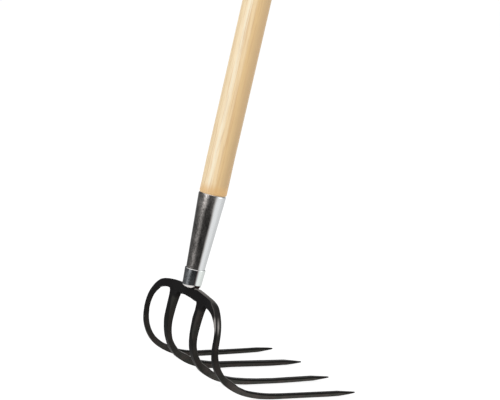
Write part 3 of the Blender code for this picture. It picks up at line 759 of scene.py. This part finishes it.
def steelLook(name, seed, bands):
    # polished steel with the room's reflection painted into its colour as bands along it, laid by angle
    # round the axis
    graph = Graph(name, {"Metallic": 1.0, "Roughness": 0.16, "Specular Tint": (0.75, 0.75, 0.75, 1)})
    place = graph.attribute("place", 1)
    x, y, height = place.parts()
    e = acrossView(x, y)
    blotch = graph.noise(place.stretched((1, 1, 0.4)).moved((seed, 0, 0)), 0.2, 4.0, 0.6)
    fine = graph.noise(place.stretched((1, 1, 0.75)).moved((0, seed, 0)), 0.75, 3.0, 0.65)
    specks = graph.noise(place.stretched((1, 1, 0.6)).moved((seed, seed, 0)), 1.6, 2.0, 0.7).rise(0.6, 0.72)
    wavy = e + (blotch - 0.5) * 0.1
    top = height.rise(80, 95)
    upper = height.rise(70, 88)
    foot = height.rise(50, 22) * bands["foot"]

    # painted reflection: the dark left half with its grey streak, then the bright right band
    darkReflection = wavy.rise(-0.2, -0.55) * e.rise(-0.95, -0.72) * steel["side"] + top * 0.02 + steel["dark"]
    darkReflection = darkReflection + wavy.bump(*bands["streak"]) * (top * 0.15 + foot + steel["streak"])
    darkReflection = darkReflection + wavy.bump(-0.2, 0.3) * foot * 0.6
    darkReflection = darkReflection + wavy.bump(-0.3, 0.26) * top * 0.14 + wavy.rise(0.0, 0.28) * upper * 0.03
    darkReflection = darkReflection * ((blotch - 0.5) * 2.2 + (fine - 0.5) * 2.8 + 1.0).maths("MAXIMUM", 0.35)
    darkReflection = darkReflection + specks * wavy.bump(-0.45, 0.4) * 0.12
    bright = bands["bright"] - wavy.rise(0.66, 0.82) * 0.1 - (fine - 0.5) * 0.06
    share = (wavy + upper * 0.02).rise(0.23, 0.52)
    tone = darkReflection + (bright - darkReflection) * share
    tint = graph.colours(share, bands["tint"], bands["brightTint"])

    # painted highlights: the rim, and on the collar its lips and its edges beside the plate
    if bands is collarBands:
        rim = collar["rim"]
        line = height.rise(rim - 0.9, rim - 0.6) * e.rise(-0.95, -0.7) * e.rise(0.5, 0.3) * 0.75
        under = graph.attribute("under", 2)
        below = (under + (e + 0.45) * 0.25).rise(0.15, 0.33) * under.rise(0.02, 0.1)
        besidePlate = graph.attribute("fromPlate", 2).rise(2.2, 1.4)
        line = line.maths("MAXIMUM", below.maths("MAXIMUM", besidePlate))
        tint = graph.colours(wavy.bump(0.27, 0.14), tint, bands["edgeTint"])
    else:
        rim = ferrule["rim"]
        line = height.rise(rim - 1.4, rim - 0.9) * e.rise(-0.76, -0.62) * e.rise(0.36, 0.24)
        # painted reflection kept darker just below the rim on the right
        tone = tone * (1 - height.rise(rim - 2.6, rim - 1.4) * e.rise(0.2, 0.5) * 0.45)
    tone = tone + (bands["line"] - tone) * line
    tint = graph.colours(line, tint, steel["rim"])
    graph.drive("Base Color", tint.scaled(tone.clamp()))
    graph.drive("Roughness", blotch * 0.12 + fine * 0.05 + steel["roughness"])
    graph.relief(blotch * 0.6 + fine * 0.1, 0.2, 0.0005)
    return graph.look


# Collar, ferrule, handle and nail

def lipCut(radiusAt, angle, heights):
    # lowest height at each angle that stays clear of the plate's faces
    y = radiusAt(heights)[:, None] * np.sin(angle)
    plateFront, plateBack = notchPlanes(heights)
    blocked = (y <= plateFront[:, None]) & (y >= plateBack[:, None])
    last = np.where(blocked.any(0), len(heights) - 1 - np.argmax(blocked[::-1], 0), -1)
    return heights[np.clip(last + 1, 0, len(heights) - 1)]


def notchPlanes(height):
    # front and back faces of the neck, as y on the shaft's own frame at each height: straight lines
    half = (section["arch"] + section["boss"]) / 2 + clearance
    found = []
    for lift in (crowning["plate"] + half, crowning["plate"] - half):
        y, z = shaft["setBack"] - math.sin(profileStart) * lift, math.cos(profileStart) * lift
        across, up = y * leanCos - z * leanSin, y * leanSin + z * leanCos
        found.append(across + (np.asarray(height) - up) / math.tan(profileStart + shaft["lean"]))
    return found


def makeCollar():
    # outside up from the lips to the rim, inside back down; the lips are quarters of a superellipse
    foot, bottom, rim, seat = collar["foot"], collar["bottom"], collar["rim"], collar["seat"]
    wall, lip, full = collar["wall"], collar["lip"], collar["fullness"]
    rimRound, rimRows = collar["rimRound"], collar["rimRows"]
    bore = foot - wall
    angle = np.linspace(0, 2 * np.pi, collar["segments"], endpoint=False)

    def lipRows(wide, narrow, deep):
        # heights and radii, from where the lip clears the plate up to the foot
        def radiusAt(h):
            return narrow + (wide - narrow) * (1 - np.clip((bottom - h) / deep, 0, 1) ** full) ** (1 / full)

        cut = lipCut(radiusAt, angle, np.linspace(bottom - deep, bottom, collar["tries"]))
        heights = cut + (bottom - cut) * np.linspace(0, 1, collar["rows"])[:, None]
        return heights, radiusAt(heights)

    outHeights, outRadii = lipRows(foot, collar["lipRadius"], lip)
    inHeights, inRadii = lipRows(bore, collar["lipRadius"] - wall, lip - wall)
    seatRadius, rimRadius = ferruleRadius(seat) + clearance, ferruleRadius(rim) + clearance
    outSeat, outRim = seatRadius + collar["sleeve"], rimRadius + collar["sleeve"]
    cup = np.linspace(0, 1, collar["cupRows"])[1:, None]
    middle = np.concatenate([(foot, bottom) + cup * (outSeat - foot, seat - bottom),
                             arcPoints((outRim - rimRound, rim - rimRound), rimRound, 0, 90, rimRows),
                             [(rimRadius, rim), (seatRadius, seat), (bore, seat), (bore, bottom + 0.2)]])
    r, h = [np.concatenate([out, np.repeat(middle[:, [k]], len(angle), 1), back[::-1]])
            for k, out, back in ((0, outRadii, inRadii), (1, outHeights, inHeights))]
    local = np.stack([r * np.cos(angle), r * np.sin(angle), h], -1).reshape(-1, 3)
    index = np.arange(r.size).reshape(r.shape)
    quads = quadsOf(np.concatenate([index, index[:1]]), True)
    # how far down the lips, and how far off the plate's faces
    under = np.clip((bottom - h) / lip, 0, 1)
    plateFront, plateBack = notchPlanes(h)
    fromPlate = np.maximum(r * np.sin(angle) - plateFront, plateBack - r * np.sin(angle))
    fromPlate = np.where(h < bottom - 0.1, fromPlate, 9)
    addPiece("collarCup", shaftToRow(local), quads, [], steelLook("collarSteel", 7.0, collarBands), "collar",
             local, {"under": under, "fromPlate": fromPlate})


def makeFerrule():
    # outside up to the rim's quarter round, inside back down a wall away
    wall, crimp = ferrule["wall"], ferrule["crimp"]
    base = ferrule["rim"] - crimp
    centre = (ferruleRadius(base) - crimp, base)
    up = np.linspace(ferrule["foot"], base, ferrule["rows"])[:-1]
    down = np.linspace(base, ferrule["foot"], ferrule["innerRows"])[1:]
    outRows, inRows = ferrule["rimRows"]
    profile = [*zip(ferruleRadius(up), up), *arcPoints(centre, crimp, 0, 90, outRows),
               *arcPoints(centre, crimp - wall, 90, 0, inRows), *zip(ferruleRadius(down) - wall, down)]
    local, quads, tris = turned(profile, ferrule["segments"], True)
    addPiece("ferruleTube", shaftToRow(local), quads, tris, steelLook("ferruleSteel", 0.0, tubeBands),
             "ferrule", local)


# light is a painted highlight, right is partly painted shade, and rim is painted shade with a stain where
# the wood meets the ferrule
wood = {"left": (0.90, 0.70, 0.42), "pale": (1.0, 0.83, 0.57), "light": (1.0, 0.885, 0.66),
        "honey": (0.94, 0.725, 0.44), "tan": (0.83, 0.585, 0.295), "right": (0.60, 0.415, 0.215),
        "line": (0.70, 0.45, 0.23), "rim": (0.81, 0.50, 0.21), "roughness": 0.34}


def woodLook():
    # paler on the left and tanner on the right, partly the wood's own colour and partly painted light and
    # shade, with painted highlight strips and fine grain along the handle
    graph = Graph("varnishedAsh", {"Roughness": 0.4, "Specular IOR Level": 0.3})
    place = graph.attribute("place", 1)
    x, y, height = place.parts()
    rings = graph.noise(place.stretched((1, 1, 0.006)), 0.3, 3.0, 0.55, 0.3)
    streak = graph.noise(place.stretched((1, 1, 0.03)), 0.55, 3.0, 0.65)
    fine = graph.noise(place.stretched((1, 1, 0.02)), 2.6, 2.0, 0.6)
    pores = graph.noise(place.stretched((1, 1, 0.06)), 4.0, 2.0, 0.6)
    side = acrossView(x, y) + (rings - 0.5) * 0.3
    # across the handle: pale to tan, partly wood and partly painted light and shade; two painted highlight
    # strips; grain lines; painted shade with a stain by the ferrule
    colour = wood["left"]
    for mask, name in ((side.rise(-0.95, -0.6), "pale"), (side.bump(-0.43, 0.14), "light"),
                       (side.rise(-0.36, -0.18), "honey"), (side.bump(-0.25, 0.07) * 0.75, "light"),
                       (side.rise(-0.02, 0.18), "tan"), (side.rise(0.2, 0.85), "right"),
                       (streak.rise(0.48, 0.62) * 0.5, "line"), (fine.rise(0.5, 0.72) * 0.3, "line"),
                       (pores.rise(0.6, 0.8) * 0.2, "line"), (height.rise(113, 103) * 0.75, "rim")):
        colour = graph.colours(mask, colour, wood[name])
    graph.drive("Base Color", colour)
    graph.drive("Roughness", streak * 0.1 + wood["roughness"])
    graph.relief(streak * 0.5 + pores * 0.3, 0.15, 0.0003)
    return graph.look


handle = {"shoulder": 100.9, "tenonEnd": 24.3, "butt": 1424.25, "full": 14.93, "proud": -0.15,
          "swell": 450, "flat": 9.0, "round": 7.0, "bevel": 1, "underRim": 0.06,
          "foot": ((-0.45, -0.35), (-0.12, 0.1), (0, 0.6)), "aside": 0.3, "asideTo": (4, 40),
          "swellRows": 60, "rows": 90, "buttRows": 14, "rimRows": 10, "segments": 180}


def makeHandle():
    # tapered tenon, the round under the ferrule's rim, the chamfered foot, a slow swell and a rounded butt
    full, butt, shoulder, tenonEnd = handle["full"], handle["butt"], handle["shoulder"], handle["tenonEnd"]
    bevel, flat, turn = handle["bevel"], handle["flat"], handle["round"]
    base, within = ferrule["rim"] - ferrule["crimp"], ferrule["wall"] + clearance
    tenon, tenonTop = ferruleRadius(tenonEnd) - within, ferruleRadius(base) - within
    centre = (ferruleRadius(base) - ferrule["crimp"], base)
    footRadius = ferrule["top"] + handle["proud"]
    foot = [(footRadius + outward, shoulder + up) for outward, up in handle["foot"]]
    start, end = foot[-1][1], shoulder + handle["swell"]
    share = np.linspace(0, 1, handle["swellRows"])[1:]
    straight = np.linspace(end, butt - turn, handle["rows"])[1:-1]
    a = np.linspace(0, math.pi / 2, handle["buttRows"])
    profile = [(0, tenonEnd), (tenon - bevel, tenonEnd), (tenon, tenonEnd + bevel),
               (tenonTop, base - clearance), centre, (centre[0], ferrule["rim"] + 0.1),
               *arcPoints(centre, ferrule["crimp"] + handle["underRim"], 86, 46, handle["rimRows"]), *foot,
               *zip(footRadius + (full - footRadius) * share, start + (end - start) * share),
               *[(full, h) for h in straight],
               *zip(flat + (full - flat) * np.cos(a), butt - turn * (1 - np.sin(a))),
               (flat * 0.5, butt), (0, butt)]
    local, quads, tris = turned(profile, handle["segments"], False)
    # just above the ferrule the wood stands a little to one side
    low, high = handle["asideTo"]
    height = local[:, 2]
    aside = handle["aside"] * (1 - smooth(height, shoulder + low, shoulder + high))
    aside = np.where(height > shoulder - 0.4, aside, 0)
    local[:, :2] += aside[:, None] * (math.sin(-viewAngle), math.cos(viewAngle))
    addPiece("handleShaft", shaftToRow(local), quads, tris, woodLook(), "handle", local)


nail = {"drop": 11, "shank": 1.1, "length": 9, "point": 4.4, "pointShare": 0.4, "head": 2.6,
        "headHeight": 1.2, "segments": 48}


def makeNail():
    # turned like the others, then laid along -X from the ferrule's wall
    shank, end, head = nail["shank"], -nail["length"], nail["head"]
    height = ferrule["rim"] - nail["drop"]
    radius = ferruleRadius(height + head) + clearance
    a = np.linspace(0.1, math.pi / 2 - 0.05, 10)
    profile = [(0, end), (nail["pointShare"] * shank, end), (shank, end + nail["point"]), (shank, -0.2),
               (shank, 0), (head, 0), *zip(head * np.cos(a), nail["headHeight"] * np.sin(a)),
               (0, nail["headHeight"])]
    local, quads, tris = turned(profile, nail["segments"], False)
    laid = np.stack([-radius - local[:, 2], local[:, 1], height + local[:, 0]], -1)
    addPiece("ferruleNail", shaftToRow(laid), quads, tris, steelLook("nailSteel", 3.0, tubeBands),
             "ferrule_nail", laid)


print("collar, ferrule, handle and nail")
makeCollar()
makeFerrule()
makeHandle()
makeNail()


# Floor, light and camera

stage = {"floor": 0.86, "glow": 0.9, "shaded": 0.2, "world": 0.62, "floorDrop": 0.0005, "half": 30}
lampTarget = Vector((0, -0.1, -1.15))
lamps = {"leftLamp": (10, 20, 1.8, (1.2, 2.4), 9),   # azimuth, elevation, distance, size, power
         "rightLamp": (143, 25, 1.8, (1.4, 1.6), 7),
         "topLamp": (60, 70, 2.2, (1.6, 1.6), 8)}
camera = {"lens": 115.2, "sensor": 36, "clip": (0.01, 50), "place": (1413.5, -824.4, 377.2),
          "right": (0.5088, 0.8526, 0.1193), "back": (0.8360, -0.5224, 0.1680)}


def greyNode(tree, kind, tone, *strength):
    made = tree.nodes.new(kind)
    for key, value in zip(("Color", "Strength"), ((tone, tone, tone, 1), *strength)):
        made.inputs[key].default_value = value
    return made.outputs[0]


def joined(tree, kind, sources):
    # a node fed by its sockets in order
    made = tree.nodes.new(kind)
    for socket, source in zip(made.inputs, sources):
        tree.links.new(source, socket)
    return made.outputs[0]


def addShaders(tree, output, shader, seen):
    # the second shader is for what the camera sees straight on, in a mirror or through glass
    path = tree.nodes.new("ShaderNodeLightPath")
    total = path.outputs["Is Camera Ray"]
    for name in ("Is Glossy Ray", "Is Transmission Ray"):
        total = joined(tree, "ShaderNodeMath", (total, path.outputs[name]))
        total.node.operation, total.node.use_clamp = "ADD", True
    mix = joined(tree, "ShaderNodeMixShader", (total, shader, seen))
    tree.links.new(mix, tree.nodes[output].inputs["Surface"])


def addFloor():
    # white to the eye, a little darker where the hoe keeps light off it
    low, half = lowStart.z - stage["floorDrop"], stage["half"]
    mesh = bpy.data.meshes.new("floor")
    mesh.from_pydata([(-half, -half, low), (half, -half, low), (half, half, low), (-half, half, low)],
                     [], [(0, 1, 2, 3)])
    floor = addObject("floor", mesh)
    look = bpy.data.materials.new("floorPaper")
    look.use_nodes = True
    tree = look.node_tree
    tree.nodes.remove(tree.nodes["Principled BSDF"])
    paper, shaded = [greyNode(tree, "ShaderNodeBsdfDiffuse", stage[key]) for key in ("floor", "shaded")]
    glow = greyNode(tree, "ShaderNodeEmission", 1, stage["glow"])
    addShaders(tree, "Material Output", paper, joined(tree, "ShaderNodeAddShader", (glow, shaded)))
    mesh.materials.append(look)


def addWorld():
    # soft light from all round, and white to the eye
    world = bpy.data.worlds.new("studio")
    bpy.context.scene.world = world
    world.use_nodes = True
    tree = world.node_tree
    tree.nodes.remove(tree.nodes["Background"])
    soft, white = [greyNode(tree, "ShaderNodeBackground", 1, power) for power in (stage["world"], 1)]
    addShaders(tree, "World Output", soft, white)


def addLamp(name, azimuth, elevation, distance, size, power):
    # azimuth and elevation are seen from the target, 0 looking along +Y
    data = bpy.data.lights.new(name, "AREA")
    data.shape = "RECTANGLE"
    data.size, data.size_y = size
    data.energy = power
    lamp = addObject(name, data)
    a, e = math.radians(azimuth), math.radians(elevation)
    way = Vector((math.sin(a) * math.cos(e), -math.cos(a) * math.cos(e), math.sin(e)))
    lamp.location = lampTarget + way * distance
    lamp.rotation_mode = "QUATERNION"
    lamp.rotation_quaternion = way.to_track_quat("Z", "Y")


def addCamera():
    # its place is in millimetres from the top of the head, as the photo was taken
    right, back = Vector(camera["right"]), Vector(camera["back"]).normalized()
    right = (right - back * right.dot(back)).normalized()
    data = bpy.data.cameras.new("camera")
    data.lens, data.sensor_width = camera["lens"], camera["sensor"]
    data.sensor_fit = "HORIZONTAL"
    data.clip_start, data.clip_end = camera["clip"]
    made = addObject("camera", data)
    turn = Matrix((right, back.cross(right), back)).transposed().to_4x4()
    turn.translation = Vector(headToRow(camera["place"]))
    made.matrix_world = turn
    bpy.context.scene.camera = made


print("stage, light and camera")
addFloor()
addWorld()
for name, values in lamps.items():
    addLamp(name, *values)
addCamera()
bpy.context.scene.view_settings.view_transform = "Standard"
